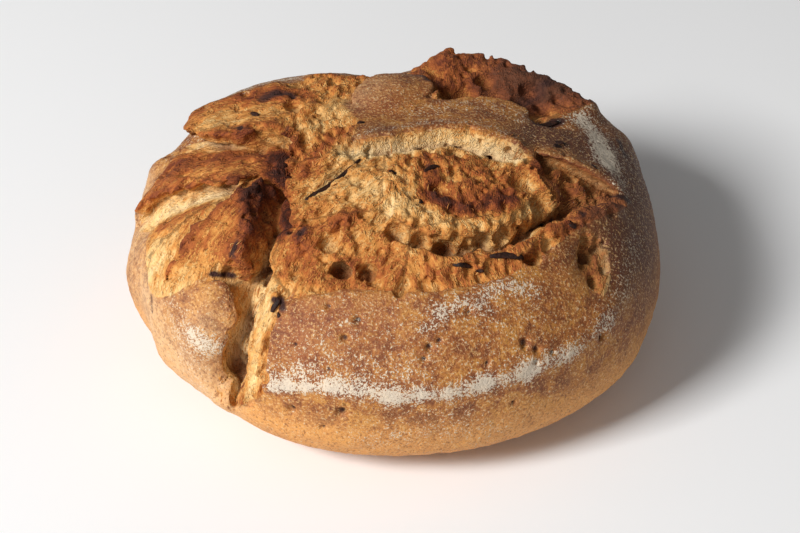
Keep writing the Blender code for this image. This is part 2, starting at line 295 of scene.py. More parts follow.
# Small dark pits in the crust: a middle, and how wide
CRUST_PITS = [
    ((56, -107), 2.2), ((62, -108), 1.8), ((63, -113), 1.4), ((-28, -143), 2.6), ((-55, -139), 2.2),
    ((-22, -110), 1.8), ((-16, -103), 1.8), ((14, -114), 1.8), ((18, -111), 1.4), ((12, -119), 1.3),
    ((-44, -110), 1.3), ((-28, -96), 1.4), ((70, -107), 1.3), ((-118, -85), 1.6), ((96, -92), 1.8),
    ((60, -134), 1.3), ((-40, -150), 1.3), ((30, -98), 1.2), ((-30, -122), 1.2), ((40, -118), 1.2),
]
HOLLOWS += [Hollow(place, (1.1 * width, width, width), 0.3) for place, width in CRUST_PITS]

# How far the crumb is toasted beyond its usual gold, where it stayed pale, and some painted shade
BAKES_AND_SHADE = many(Tint, [
    # the mound
    ([(17, -41), (21, -46), (29, -48), (37, -44), (45, -40)], 6, 0.8),
    ([(12, -9), (13, -22), (14, -31), (12, -41)], 4, 0.4), ([(26, -6), (30, -20)], 10, 0.2),
    ([(30, -34), (44, -30)], 8, 0.2),
    ([(-20, -12), (-8, -10), (4, -6), (16, -2), (28, -1), (40, -4), (52, -9)], 5.5, -0.65),
    ([(0, -50), (20, -57), (40, -53), (54, -42)], 6, -0.5),
    ([(48, -4), (55, -17), (62, -29), (72, -39)], 2.2, -0.25),
    ([(62, -14), (74, -26), (82, -32)], 7, 0.35), ([(50, -26)], 6, 0.15),
    ([(-24, -30), (-8, -38)], 12, -0.25), ([(-37, 12), (-41, -10), (-43, -40)], 6, -0.12),
    ([(-24, 4), (-32, -8), (-37, -24)], 4.5, 0.45), ([(-28, 26), (-36, 8)], 9, -0.3),
    # the rim and the band in front of it
    ([(66, -50), (50, -66), (38, -71), (24, -75), (12, -75), (2, -69)], 3, -0.22),
    ([(-37, -60), (-42, -74)], 6, 0.4), ([(-24, -56), (-18, -54)], 5, 0.35),
    ([(-36, -84), (-20, -88)], 5, 0.25), ([(-12, -86), (20, -84), (46, -78)], 7, 0.26),
    ([(66, -52), (80, -42), (98, -26)], 5, 0.3), ([(56, -70)], 5, 0.5),
    ([(84, -58), (86, -70)], 4, 0.3), ([(90, -52), (94, -62), (91, -75)], 1.8, -0.5),
    ([(66, -14), (84, -18), (98, -21)], 6, 0.25),
    # the tongue, and the pale stripe and band behind it
    ([(-80, -72), (-69, -67), (-63, -56), (-62, -40), (-63, -24)], 2.6, 0.12),
    # painted shade in the crevice between the tongue and the mound
    ([(-53, -4), (-56, -30), (-53, -54)], 6, 0.9),
    ([(-100, -60), (-86, -52), (-72, -42), (-68, -54)], 11, 0.2),
    ([(-112, -44), (-108, -62), (-96, -70)], 11, -0.5),
    ([(-92, -47), (-83, -40), (-75, -33)], 3, -0.35),
    ([(-127, -13), (-114, -18), (-102, -21), (-92, -23), (-82, -24)], 5, -0.6),
    ([(-113, -36), (-104, -33), (-96, -30), (-85, -29)], 3.5, 0.25),
    # the folds behind
    ([(-112, 5), (-88, 3), (-62, 0)], 9, 0.56), ([(-96, 33), (-76, 34), (-58, 42)], 9, 0.06),
    ([(-64, 38), (-52, 40), (-44, 40)], 6, 0.45), ([(-102, 30), (-90, 23), (-78, 18)], 7, -0.45),
    # painted shade along that same crevice
    ([(-50, -6), (-52, -36), (-49, -58)], 4, 0.3),
    # the crest at the back, its right end darkened further as painted shade
    ([(10, 62), (40, 64), (70, 56)], 12, 0.52), ([(62, 60), (86, 48)], 14, 0.56),
    ([(22, 48), (45, 50), (66, 44)], 6, 0.35), ([(-40, 60), (-20, 64)], 8, 0.2),
    # the left tear
    ([(-55, -84), (-62, -102), (-80, -128)], 4, -0.6),
    ([(-68, -88), (-80, -105), (-93, -119)], 7, -0.6), ([(-84, -100), (-96, -114)], 3, -0.3),
])
# Where an edge or a fold is burnt dark
CHARS = many(Tint, [
    ([(-81, -70), (-78, -73)], 1.7, 0.85), ([(-63, -34), (-63, -50), (-66, -66)], 1.8, 0.45),
    ([(-62, -26)], 2.2, 0.8), ([(-48, 13)], 3, 0.6), ([(-56, -16)], 3.5, 0.6),
    ([(-46, -58)], 3, 0.7), ([(-76, 21), (-65, 11)], 1.8, 0.45), ([(75, -42)], 2.6, 0.8),
    ([(42, 61)], 4.5, 0.55), ([(60, 50), (66, 55)], 6, 0.6), ([(25, 69)], 3, 0.5),
    ([(-68, -66), (-64, -60)], 1.6, 0.4),
    ([(-58, 37), (-53, 39), (-47, 39)], 3.4, 0.75), ([(-61, 23)], 2.2, 0.8),
    ([(-52, 18)], 1.8, 0.6), ([(-65, 12)], 1.6, 0.6), ([(-80, 46), (-72, 48)], 2, 0.5),
    ([(-48, -94), (-53, -90)], 2.4, 0.9), ([(22, -46), (30, -47), (38, -43)], 3, 0.4),
    ([(-38, -60), (-36, -58)], 2.4, 0.7), ([(-41, -70), (-44, -82)], 2.5, 0.4),
    ([(-117, -62), (-120, -68)], 1.4, 0.7), ([(10, 58), (14, 54), (14, 48)], 3.2, 0.8),
    ([(62, 20), (74, 28)], 3.4, 0.9), ([(102, 30), (106, 20)], 2.2, 0.8),
    ([(12, -22), (17, -27)], 2.4, 0.5), ([(18, 80), (24, 80)], 2, 0.6),
    ([(60, 76), (66, 72)], 2, 0.6), ([(99, -18), (104, -17)], 2.6, 0.8),
])
CHARS += [Tint([place], 0.9 * width, 0.8) for place, width in CRUST_PITS]
# Where flour lies on the crust
FLOURS = many(Tint, [
    ([(-64, -122), (-58, -124), (-53, -126)], 3.8, 0.6), ([(-50, -124), (-44, -122)], 4, 0.4),
    ([(-62, -127), (-40, -129)], 2.4, 0.65), ([(-42, -128), (-30, -130)], 3.4, 0.55),
    ([(-30, -129), (-16, -132), (-2, -134)], 4.4, 0.8), ([(-4, -137), (10, -135)], 3.6, 0.75),
    ([(12, -133), (22, -133)], 4, 0.7), ([(26, -132), (40, -127)], 4.4, 0.8),
    ([(40, -127), (60, -118)], 5, 0.75), ([(60, -118), (80, -105)], 5, 0.65),
    ([(80, -105), (95, -85)], 5, 0.4), ([(-64, -118), (-30, -122), (10, -126)], 8, 0.3),
    ([(95, -85), (102, -60), (108, -40)], 7, 0.26), ([(36, -87), (55, -83)], 5, 0.55),
    ([(18, -98), (28, -94), (36, -96)], 4, 0.45), ([(12, -106), (18, -102)], 3, 0.4),
    ([(83, 33), (88, 29), (92, 17), (93, 2)], 5.5, 0.95), ([(-4, 48), (6, 52)], 6, 0.12),
    ([(94, 10), (98, -10)], 8, 0.35),
    ([(98, -80), (104, -45), (106, -15)], 13, 0.08), ([(-95, -92), (-89, -104)], 4.5, 0.7),
    ([(-104, -80), (-98, -98)], 8, 0.4), ([(-112, -96), (-118, -120)], 10, 0.3),
    ([(-88, 52), (-70, 58), (-50, 64)], 10, 0.7), ([(-122, 16), (-112, 30)], 9, 0.45),
    ([(-12, -2), (6, 4), (24, 8), (44, 3)], 3.6, 0.4), ([(6, 20), (30, 27), (56, 22)], 9, 0.3),
    ([(-34, -108), (10, -104), (56, -98)], 18, 0.2), ([(0, -146), (40, -142)], 5, 0.22),
    ([(-20, -160), (60, -150)], 7, 0.3), ([(120, 30), (90, 100), (0, 130)], 40, 0.3),
    ([(-90, 90), (-120, 50)], 22, 0.3),
])
# Where the crust was baked a duller, darker brown; on the loaf's right side, painted shade as well
DUSKS_AND_SHADE = many(Tint, [
    ([(-6, 6), (20, 18), (56, 14)], 15, 0.14), ([(50, 60), (86, 46)], 12, 0.5),
    ([(-16, -2), (-6, 0)], 7, 0.5), ([(52, 2), (62, 10)], 9, 0.5),
    ([(6, 52), (10, 40)], 7, 0.15),
    # painted shade over the duller crust of the loaf's right side
    ([(70, 10), (90, 10)], 18, 0.9), ([(112, -40), (120, 20)], 30, 1.0),
    ([(-60, 70), (-90, 50)], 16, 0.4), ([(60, 90), (0, 100)], 24, 0.5),
    ([(86, -40), (96, -70)], 12, 0.4),
])
# Where the crust kept a blond, pinkish colour
BLONDS = many(Tint, [
    ([(-112, -120), (-126, -92), (-128, -60)], 22, 0.9), ([(-90, -92)], 12, 0.45),
    ([(-126, -20), (-122, 20)], 14, 0.7),
    ([(-18, 30), (-8, 42)], 9, 0.35),
])
# Where the crust is ruddy
RUDDIES = many(Tint, [
    ([(-40, -100), (-10, -100)], 14, 0.6), ([(-44, -112)], 12, 0.5), ([(70, -72)], 10, 0.4),
    ([(10, -118), (24, -112)], 8, 0.4), ([(-14, 18), (2, 28), (14, 40)], 7, 0.5),
    ([(-10, 44), (-14, 30)], 12, 0.75), ([(96, -26), (106, -40)], 9, 0.5),
])

# Each set of tints by the name that the material reads it by
TINTS = {"bake": BAKES_AND_SHADE, "char": CHARS, "flour": FLOURS, "dusk": DUSKS_AND_SHADE, "blond": BLONDS,
         "ruddy": RUDDIES}

THREADS = 380
# Shares of the threads that lie along the left tear, and in the fan at the mound's right end
TEAR_THREADS = 0.3
FAN_THREADS = 0.15

# Points along a bit of onion, and along a thread
BIT_POINTS = 9
THREAD_POINTS = 7

# Dark bits of roasted onion
BITS = many(Bit, [
    ((36, -71.5), (53, -70), 1.4, 1.0, 0.8), ((22, -77), (30, -77.5), 1.1, 0.6, 0.3),
    ((32, -79), (35, -79), 0.9, 0.3, 0.3), ((69, -46), (71.5, -50), 2.4, 0.2, 0.2),
    ((-37, -39), (-15, -16), 1.2, -0.6, 0.3), ((-38, -40), (-30, -32), 2.2, -0.2, 0.0),
    ((-63, -29), (-61, -24), 1.6, 0.4, 0.3),
    ((-62, 25), (-59, 22), 1.2, 0.3, 0.2), ((62, 19), (73, 27), 1.7, 1.4, 1.0),
    ((68, 5), (72, 4), 1.6, 0.4, 0.2), ((66, 0), (70, 1.4), 1.4, 0.3, 0.2),
    ((83, -6), (86, -8), 1.3, 0.3, 0.2), ((-51, -90), (-55, -95), 1.4, 0.5, 0.4),
    ((-49, -97), (-51, -96), 1.2, 0.2, 0.3), ((11, -27), (17, -22), 1.2, 1.2, 0.3),
    ((-16, 8), (-13, 9.5), 1.4, 0.2, 0.0), ((-3, -28), (0, -28), 1.2, 0.2, -0.2),
    ((9, -46), (10, -44), 1.2, 0.2, 0.0),
])


def smoothstep(x):
    """0 below 0, 1 above 1, and an even slope between."""
    x = np.clip(x, 0.0, 1.0)
    return x * x * (3.0 - 2.0 * x)


def dome_radius(zenith, azimuth):
    """Distance from the loaf's middle to the smooth dome in that direction."""
    side = 1.0 / np.hypot(np.cos(azimuth) / HALF_WIDTH, np.sin(azimuth) / HALF_DEPTH)
    across = np.sin(zenith) / side
    up = np.cos(zenith)
    crown = across**CROWN_FULLNESS + np.abs(up / CROWN_RISE) ** CROWN_FULLNESS
    base = across**UNDERSIDE_FULLNESS + np.abs(up / UNDERSIDE_DEPTH) ** UNDERSIDE_FULLNESS
    return np.where(up >= 0, crown ** (-1 / CROWN_FULLNESS), base ** (-1 / UNDERSIDE_FULLNESS))


def skin_length_table():
    """Zenith angles, and the length of skin from the crown down to each."""
    zenith = np.linspace(0.0, math.pi, 721)
    radius = dome_radius(zenith, np.zeros_like(zenith))
    steps = np.hypot(np.diff(radius * np.sin(zenith)), np.diff(radius * np.cos(zenith)))
    return zenith, np.concatenate([[0.0], np.cumsum(steps)])


SKIN_TABLE = skin_length_table()


def skin_place(x, y, z):
    """(u, v, height above the smooth dome) of points."""
    flat = np.hypot(x, y)
    zenith = np.arctan2(flat, z)
    azimuth = np.arctan2(y, x)
    length = np.interp(zenith, *SKIN_TABLE)
    height = np.hypot(flat, z) - dome_radius(zenith, azimuth)
    return length * np.cos(azimuth), length * np.sin(azimuth), height


def skin_point(u, v, height):
    """The point at skin coordinates, height above the smooth dome."""
    zenith = np.interp(np.hypot(u, v), SKIN_TABLE[1], SKIN_TABLE[0])
    azimuth = np.arctan2(v, u)
    reach = dome_radius(zenith, azimuth) + height
    flat = reach * np.sin(zenith)
    return np.stack([flat * np.cos(azimuth), flat * np.sin(azimuth), reach * np.cos(zenith)], -1)


def smooth_path(points, steps=4):
    """A Catmull-Rom curve through the points."""
    p = np.array([points[0], *points, points[-1]], float)
    t = np.linspace(0.0, 1.0, steps, endpoint=False)[:, None]
    spans = [
        0.5 * (2 * b + (c - a) * t + (2 * a - 5 * b + 4 * c - d) * t**2
               + (3 * b - a - 3 * c + d) * t**3)
        for a, b, c, d in zip(p, p[1:], p[2:], p[3:])
    ]
    return np.vstack([*spans, p[-1:]])


def measure_from(path, u, v):
    """Signed distance from a path, positive on its left, and how far along it, from 0 to 1."""
    nearest = np.full(u.shape, np.inf)
    side = np.zeros(u.shape)
    along = np.zeros(u.shape)
    lengths = np.hypot(*np.diff(path, axis=0).T)
    start = np.concatenate([[0.0], np.cumsum(lengths)])
    for (au, av), (bu, bv), length, before in zip(path, path[1:], lengths, start):
        du, dv = (bu - au) / length, (bv - av) / length
        run = np.clip((u - au) * du + (v - av) * dv, 0.0, length)
        gap_u, gap_v = u - au - run * du, v - av - run * dv
        gap = np.hypot(gap_u, gap_v)
        closer = gap < nearest
        nearest = np.where(closer, gap, nearest)
        side = np.where(closer, du * gap_v - dv * gap_u, side)
        along = np.where(closer, (before + run) / start[-1], along)
    return np.copysign(nearest, side), along


def end_fade(along):
    """1 along a path, falling to 0 at its ends."""
    return smoothstep(along / END_FADE) * smoothstep((1.0 - along) / END_FADE)


def inside(outline, u, v, width=MASK_WIDTH):
    """1 inside a closed outline and 0 outside, with a soft edge."""
    ring = smooth_path([*outline, outline[0]])
    distance, _ = measure_from(ring, u, v)
    odd = np.zeros(u.shape, bool)
    for (au, av), (bu, bv) in zip(ring, ring[1:]):
        crosses = (av > v) != (bv > v)
        reach = au + (v - av) * (bu - au) / (bv - av if bv != av else 1.0)
        odd ^= crosses & (u < reach)
    return smoothstep(0.5 + np.where(odd, 1.0, -1.0) * np.abs(distance) / width)


def tinted(tints, u, v):
    """The sum of tints at each place on the skin."""
    total = np.zeros(u.shape)
    for tint in tints:
        if len(tint.path) == 1:
            distance = np.hypot(u - tint.path[0][0], v - tint.path[0][1])
        else:
            distance, _ = measure_from(smooth_path(tint.path), u, v)
        total += tint.amount * np.exp(-((distance / tint.width) ** 2))
    return total


def bumps(points, height, width):
    """Even, smooth noise of that height, with bumps of that width."""
    return height * np.array([noise.noise(Vector(p) / width) for p in points])


class SkinMap:
    """A value at every skin coordinate, read between its grid points."""

    axis = np.arange(-MAP_REACH, MAP_REACH + MAP_STEP, MAP_STEP)
    u, v = np.meshgrid(axis, axis, indexing="ij")

    def __init__(self, values):
        self.values = np.ascontiguousarray(values, dtype=np.float32)

    def at(self, u, v):
        """The value at skin coordinates."""
        end = len(self.axis) - 2 + 0.999
        a, b = (np.clip((g + MAP_REACH) / MAP_STEP, 0, end).astype(np.float32) for g in (u, v))
        i, j = a.astype(np.int32), b.astype(np.int32)
        a, b = a - i, b - j
        flat = self.values.ravel()
        k = i * len(self.axis) + j
        low = flat[k] * (1 - a) + flat[k + len(self.axis)] * a
        high = flat[k + 1] * (1 - a) + flat[k + len(self.axis) + 1] * a
        return low * (1 - b) + high * b


def lip_sides(lip, distance, fade):
    """What a lip adds to the skin on its raised side, on its dropped side, and in all."""
    raised = fade * lip.rise * np.exp(-np.abs(distance) / lip.rise_reach)
    dropped = -fade * lip.drop * np.exp(-np.abs(distance) / lip.drop_reach)
    share = smoothstep(0.5 + distance / STEP_WIDTH)
    return raised, dropped, dropped + (raised - dropped) * share


def lips_at(lips, u, v):
    """Each lip at skin coordinates: its distance, its fade, and what lip_sides gives."""
    for lip, distance_map, fade_map in lips:
        distance, fade = distance_map.at(u, v), fade_map.at(u, v)
        yield lip, distance, fade, *lip_sides(lip, distance, fade)


def skin_maps():
    """The skin's lift without its lips, with them, its crumb, and each lip's place."""
    u, v = SkinMap.u, SkinMap.v
    crumb = inside(BURST_OUTLINE, u, v)
    crumb *= (1.0 - inside(CROWN_SKIN, u, v)) * (1.0 - inside(KNOB_SKIN, u, v, KNOB_MASK_WIDTH))
    points = skin_point(u.ravel(), v.ravel(), 0.0)
    on_loaf = (np.hypot(u, v) < SKIN_END).ravel()
    crumbly = crumb.ravel() > 0.01
    lift = np.zeros(u.size)
    lift[on_loaf] = bumps(points[on_loaf], *CRUST_WAVE)
    lift[crumbly] += crumb.ravel()[crumbly] * bumps(points[crumbly], *CRUMB_CRAG)
    lift = lift.reshape(u.shape)
    for ridge in [*RIDGES.values(), *FINE_RIDGES]:
        distance, along = measure_from(smooth_path(ridge.path), u, v)
        lift += end_fade(along) * ridge.height * np.exp(-((distance / ridge.width) ** 2))
    for hill in HILLS.values():
        across = (u - hill.centre[0]) / hill.radii[0]
        back = (v - hill.centre[1]) / hill.radii[1]
        lift += hill.height * np.exp(-(across**2 + back**2))
    ground = lift.copy()
    lips = []
    for lip in LIPS.values():
        distance, along = measure_from(smooth_path(lip.path), u, v)
        fade = end_fade(along)
        ground += lip_sides(lip, distance, fade)[2]
        lips.append((lip, SkinMap(distance), SkinMap(fade)))
    crumb = np.maximum(crumb, inside(BURST_IN_SIDE, u, v))
    return SkinMap(lift), SkinMap(ground), SkinMap(crumb), lips


def smooth_max(a, b, width):
    """The larger of two values, rounded where they meet."""
    mix = np.clip(0.5 + 0.5 * (a - b) / width, 0.0, 1.0)
    return b + (a - b) * mix + width * mix * (1.0 - mix)


def volume_axes():
    """The grid's places along x, y and z."""
    return [
        np.arange(-VOLUME_REACH[0], VOLUME_REACH[0], VOXEL, dtype=np.float32),
        np.arange(-VOLUME_REACH[1], VOLUME_REACH[1], VOXEL, dtype=np.float32),
        np.arange(-BELLY_HEIGHT - 3 * VOXEL, VOLUME_TOP - BELLY_HEIGHT, VOXEL, dtype=np.float32),
    ]


def loaf_volume(axes, lift, lips):
    """How far each grid point is outside the loaf, with every lip's edge leaning out."""
    x, y, z = (g.ravel() for g in np.meshgrid(*axes, indexing="ij"))
    u, v, height = skin_place(x, y, z)
    field = height.astype(np.float32)
    band = np.flatnonzero((np.abs(height) < SKIN_BAND) & (z > -BELLY_HEIGHT - 2 * VOXEL))
    u, v, height = (g[band].astype(np.float32) for g in (u, v, height))
    ground = lift.at(u, v)
    steps = []
    for lip, distance, fade, raised, dropped, both in lips_at(lips, u, v):
        ground += both
        close = np.flatnonzero((np.abs(distance) < LIP_EDGE_REACH) & (fade > 0.01))
        steps.append((lip, close, *(g[close] for g in (distance, raised, dropped, both))))
    skin = height - ground
    result = skin.copy()
    for lip, close, distance, raised, dropped, both in steps:
        rest = skin[close] + both
        high, low = rest - raised, rest - dropped
        keep = (high < 4.0) & (low > -4.0)
        close, distance, high, low = close[keep], distance[keep], high[keep], low[keep]
        half = np.maximum((low - high) / 2, 0.6)
        level = np.clip((high + low) / 2 / half, -1.2, 1.2)
        spots = np.stack([g.ravel()[band[close]] for g in (x, y, z)], -1)
        rag = sum(bumps(spots, height * lip.ragged, width) for height, width in LIP_RAGS)
        lean = lip.lean * np.minimum(half / 4.0, 1.0) * (level - 0.1)
        wall = -(distance + lean + rag)
        result[close] += np.minimum(low, smooth_max(high, wall, 1.2)) - skin[close]
    field[band] = result
    field = np.maximum(field, -BELLY_HEIGHT - z)
    return field.reshape([len(a) for a in axes])


def grain_angle(u, v):
    """Direction of the nearest grain, in radians."""
    gaps = np.hypot(u - GRAIN_MIDDLES[:, 0], v - GRAIN_MIDDLES[:, 1])
    return GRAIN_ANGLES[gaps.argmin()]


def skin_frame(u, v, height, angle):
    """A point on the skin, and unit steps along the grain, across it and outwards."""
    middle = skin_point(u, v, height)
    along = skin_point(u + math.cos(angle), v + math.sin(angle), height) - middle
    outward = skin_point(u, v, height + 1.0) - middle
    along /= np.linalg.norm(along)
    across = np.cross(outward, along)
    across /= np.linalg.norm(across)
    return middle, np.array([along, across, np.cross(along, across)])


def random_hollows(crumb):
    """Small pores scattered over the crumb, by a seeded draw."""
    draw = random.Random(SEED)
    pores = []
    while len(pores) < PORES:
        u, v = draw.uniform(-130, 110), draw.uniform(-132, 92)
        if crumb.at(np.array([u]), np.array([v]))[0] < 0.7:
            continue
        folds = u < -52 and v > -70
        if folds and draw.random() < 0.6:
            continue
        size = min(0.95 * math.exp(abs(draw.gauss(0, 0.45))), PORE_LIMIT)
        size *= 0.85 if folds else 1.0
        radii = (size * draw.uniform(1.0, 1.9), size, size)
        pores.append(Hollow((u, v), radii, draw.uniform(0.0, 0.8)))
    return pores


def carve(axes, field, ground, hollows):
    """Cuts ellipsoid hollows into the volume."""
    origin = np.array([a[0] for a in axes])
    for hollow in hollows:
        u, v = hollow.centre
        angle = grain_angle(u, v)
        surface = float(ground.at(np.array([u]), np.array([v]))[0])
        middle, frame_axes = skin_frame(u, v, surface - hollow.sink, angle)
        reach = max(hollow.radii) + 1.5
        first = np.maximum(((middle - reach - origin) / VOXEL).astype(int), 0)
        last = ((middle + reach - origin) / VOXEL).astype(int) + 2
        block = tuple(slice(a, b) for a, b in zip(first, last))
        grid = np.meshgrid(*(a[s] for a, s in zip(axes, block)), indexing="ij")
        scaled = ((np.stack(grid, -1) - middle) @ frame_axes.T) / np.array(hollow.radii)
        depth = (1.0 - np.linalg.norm(scaled, axis=-1)) * min(hollow.radii)
        field[block] = smooth_max(field[block], depth.astype(np.float32), 0.5)


def averaged(values, reach):
    """Values evened over a box of that half width, twice over."""
    n = max(1, round(reach / VOXEL))
    for axis in (0, 1, 2, 0, 1, 2):
        pads = [(n + 1, n) if k == axis else (0, 0) for k in range(3)]
        total = np.cumsum(np.pad(values, pads, mode="edge"), axis=axis, dtype=np.float32)
        size = values.shape[axis]
        upper = np.take(total, np.arange(2 * n + 1, 2 * n + 1 + size), axis=axis)
        lower = np.take(total, np.arange(size), axis=axis)
        values = (upper - lower) / (2 * n + 1)
    return values


def read_volume(axes, values, points):
    """Values of a volume at points, read between its grid points."""
    place = (points - [a[0] for a in axes]) / VOXEL
    whole = np.clip(place.astype(int), 0, np.array(values.shape) - 2)
    part = place - whole
    result = np.zeros(len(points))
    for corner in ((i, j, k) for i in (0, 1) for j in (0, 1) for k in (0, 1)):
        weight = np.prod(np.where(corner, part, 1 - part), axis=1)
        result += weight * values[tuple((whole + corner).T)]
    return result


def surface_net(axes, field):
    """Points and quads of the surface where the field is 0: one point in each cell it crosses."""
    cells = tuple(n - 1 for n in field.shape)
    negative = field < 0

    def corner(values, c):
        return values[tuple(slice(k, k + n) for k, n in zip(c, cells))]

    count = np.zeros(cells, np.int8)
    place = np.zeros((3, *cells), np.float32)
    for start in ((i, j, k) for i in (0, 1) for j in (0, 1) for k in (0, 1)):
        for axis in range(3):
            if start[axis]:
                continue
            end = tuple(c + (n == axis) for n, c in enumerate(start))
            crossing = corner(negative, start) != corner(negative, end)
            at = np.nonzero(crossing)
            here, there = corner(field, start)[at], corner(field, end)[at]
            share = here / (here - there)
            count[at] += 1
            for n in range(3):
                place[n][at] += start[n] + (share if n == axis else 0.0)
    used = np.nonzero(count)
    index = np.full(cells, -1, np.int32)
    index[used] = np.arange(len(used[0]))
    points = np.stack(used, -1) + (place[:, used[0], used[1], used[2]] / count[used]).T
    points = points * VOXEL + [a[0] for a in axes]
    quads = []
    for axis in range(3):
        first, second = [n for n in range(3) if n != axis]
        lower, upper = [slice(1, -1)] * 3, [slice(1, -1)] * 3
        lower[axis], upper[axis] = slice(0, -1), slice(1, None)
        start, end = negative[tuple(lower)], negative[tuple(upper)]
        at = np.argwhere(start != end)
        outward = start[tuple(at.T)]
        at += [0 if n == axis else 1 for n in range(3)]
        ring = []
        for s, t in ((0, 0), (1, 0), (1, 1), (0, 1)):
            step = np.zeros(3, int)
            step[first], step[second] = -s, -t
            ring.append(index[tuple((at + step).T)])
        ring = np.stack(ring, 1)
        flip = outward if axis != 1 else ~outward
        quads.append(np.where(flip[:, None], ring, ring[:, ::-1]))
    return points, np.vstack(quads)


def edges_of(quads):
    """The four edges of each quad, by their ends."""
    return np.vstack([quads[:, [n, (n + 1) % 4]] for n in range(4)])


def largest_part(points, quads):
    """The largest connected piece of the surface, without any crumb that floats free."""
    edges = edges_of(quads)
    part = np.arange(len(points))
    settled = False
    while not settled:
        least = part[edges].min(axis=1)
        joined = part.copy()
        for side in (0, 1):
            np.minimum.at(joined, edges[:, side], least)
            np.minimum.at(joined, part[edges[:, side]], least)
        joined = joined[joined]
        settled = np.array_equal(joined, part)
        part = joined
    keep = part == np.bincount(part).argmax()
    number = np.cumsum(keep) - 1
    return points[keep], number[quads[keep[quads[:, 0]]]]


def evened(points, quads, rounds=2, share=0.5):
    """Points moved towards the middle of their neighbours, which takes out the grid's steps."""
    edges = edges_of(quads)
    number = np.bincount(edges.ravel(), minlength=len(points))
    for _ in range(rounds):
        total = np.stack([
            np.bincount(edges[:, 0], points[edges[:, 1], n], len(points))
            + np.bincount(edges[:, 1], points[edges[:, 0], n], len(points))
            for n in range(3)], -1)
        points = points + share * (total / number[:, None] - points)
    return points


def grain_place(u, v, height, rank=0):
    """Coordinates along the nearest grain, across it and outwards, in millimetres."""
    gaps = np.hypot(u - GRAIN_MIDDLES[:, :1], v - GRAIN_MIDDLES[:, 1:])
    nearest = np.argpartition(gaps, rank, axis=0)[rank]
    angle = GRAIN_ANGLES[nearest]
    along = u * np.cos(angle) + v * np.sin(angle) + GRAIN_SHIFT * nearest
    across = v * np.cos(angle) - u * np.sin(angle)
    return np.stack([along, across, height], -1), gaps[nearest, np.arange(len(u))]


def foam(places, cell, stretch):
    """Torn bubbles: dished in each cell's middle, with sharp walls where cells meet."""
    scale = np.array([1.0 / (cell * stretch), 1.0 / cell, 1.0 / cell])
    return np.array([min(noise.voronoi(place)[0][0] ** 2, 0.5) for place in places * scale]) - 0.2


def torn_texture(places, wide):
    """Open bubbles, small cells and fibres of torn crumb."""
    texture = wide * (0.8 * foam(places, 7.5, 1.9) + 0.8 * foam(places + 50.0, 3.8, 3.4))
    texture += 0.3 * foam(places + 90.0, 2.0, 3.2)
    return texture + (0.5 + 0.4 * wide) * bumps(places / [4.0, 1.0, 1.0], 0.5, 1.9)


def calm(u, v):
    """Falls towards the middles of large smooth bubbles, which have little texture."""
    share = np.ones(u.shape)
    for hollow in HOLLOWS:
        if max(hollow.radii[:2]) < LARGE_BUBBLE:
            continue
        gap = np.hypot(u - hollow.centre[0], v - hollow.centre[1]) / max(hollow.radii[:2])
        share *= 1.0 - 0.75 * np.exp(-(gap**4))
    return share


def roughened(points, crumb):
    """How far the fine crumb texture and the crust's blisters lift each point."""
    u, v, height = skin_place(*points.T)
    rough = bumps(points, 0.35, 5.0) + bumps(points, 0.16, 1.8)
    torn = np.flatnonzero(crumb > 0.05)
    u, v, height = u[torn], v[torn], height[torn]
    open_crumb = np.maximum(inside(OPEN_CRUMB, u, v), smoothstep((v - 50) / 8) * (u > -10))
    tear, _ = measure_from(smooth_path(RIDGES["left_tear"].path), u, v)
    wide = 0.3 + 0.7 * np.maximum(open_crumb, np.exp(-((tear / 11.0) ** 2)))
    sway = np.stack([bumps(points[torn] + 40.0 * n, 1.6, 5.0) for n in range(3)], -1)
    places, gap = grain_place(u, v, height)
    others, other_gap = grain_place(u, v, height, 1)
    texture = torn_texture(places + sway, wide)
    share = 0.5 * smoothstep(1.0 - (other_gap - gap) / 14.0)
    mixed = share > 0.0
    texture[mixed] *= 1.0 - share[mixed]
    texture[mixed] += share[mixed] * torn_texture(others[mixed] + sway[mixed], wide[mixed])
    rough[torn] += crumb[torn] * texture * calm(u, v)
    return rough


def mesh_object(name, points, faces):
    """A new smooth object from points in millimetres."""
    mesh = bpy.data.meshes.new(name)
    mesh.from_pydata((np.asarray(points) * MM).tolist(), [], [tuple(face) for face in faces])
    mesh.update()
    mesh.shade_smooth()
    made = bpy.data.objects.new(name, mesh)
    bpy.context.scene.collection.objects.link(made)
    return made


def vectors_of(items, name):
    """The named vectors of a mesh's vertices or normals."""
    values = np.empty(3 * len(items), np.float32)
    items.foreach_get(name, values)
    return values.reshape(-1, 3).astype(float)


def keep_value(mesh, name, values):
    """Keeps a number at each of the mesh's points, for the material."""
    kept = mesh.attributes.new(name, "FLOAT", "POINT")
    kept.data.foreach_set("value", np.asarray(values, np.float32))


def thinned(made, limit):
    """The object's mesh with at most that many triangles."""
    count = sum(len(p.vertices) - 2 for p in made.data.polygons)
    if count <= limit:
        return
    made.modifiers.new("thin", "DECIMATE").ratio = limit / count
    depsgraph = bpy.context.evaluated_depsgraph_get()
    thin = bpy.data.meshes.new_from_object(made.evaluated_get(depsgraph))
    made.modifiers.clear()
    made.data = thin


def bared(crumb, ground, lips, u, v, height):
    """Where crumb shows: the torn part without its lips' tops, and all that lies under the skin."""
    share = crumb.at(u, v).astype(float)
    surface = ground.at(u, v)
    under = smoothstep((surface - height - 1.6) / 1.6)
    crusted = [row for row in lips if row[0] in CRUST_LIPS]
    for lip, distance, fade, raised, _, both in lips_at(crusted, u, v):
        fade = smoothstep(fade * 4)
        top_height = surface - both + raised
        top = smoothstep((height - top_height + 1.5) / 1.0)
        near = smoothstep((distance + lip.lean + 3.0) / 1.0) * (distance < 2) * fade
        share *= 1.0 - top * near
        wall = smoothstep((top_height - height - 1.2) / 1.2)
        wall *= smoothstep((7.0 - np.abs(distance)) / 2.0)
        under = np.maximum(under, wall * fade)
    return np.maximum(share, under)


